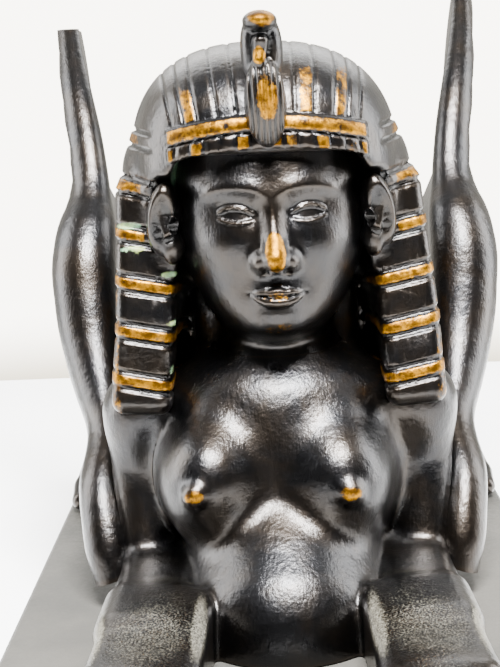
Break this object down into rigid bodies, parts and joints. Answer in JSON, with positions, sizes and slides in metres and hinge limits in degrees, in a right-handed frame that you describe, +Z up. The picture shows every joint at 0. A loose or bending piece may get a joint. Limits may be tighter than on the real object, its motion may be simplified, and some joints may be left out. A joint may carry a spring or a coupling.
{
  "type": "sphinx statuette",
  "caption": "Winged sphinx with a woman's head in a striped royal headdress, lying on a flat stone plinth; small cast bronze statuette.",
  "frame": {"origin": "middle of the plinth's underside", "axes": "+Z up, -Y the way the sphinx faces, +X on the right of someone who faces it"},
  "size_m": [0.1008, 0.2002, 0.134],
  "materials": {
    "patinated_bronze": "dark brown-black patinated cast bronze, waxed and glossy, worn to gold on raised edges",
    "grey_stone": "honed pale warm-grey stone"
  },
  "bodies": {
    "root": {"sphinx": "patinated_bronze", "plinth": "grey_stone"}
  },
  "joints": []
}
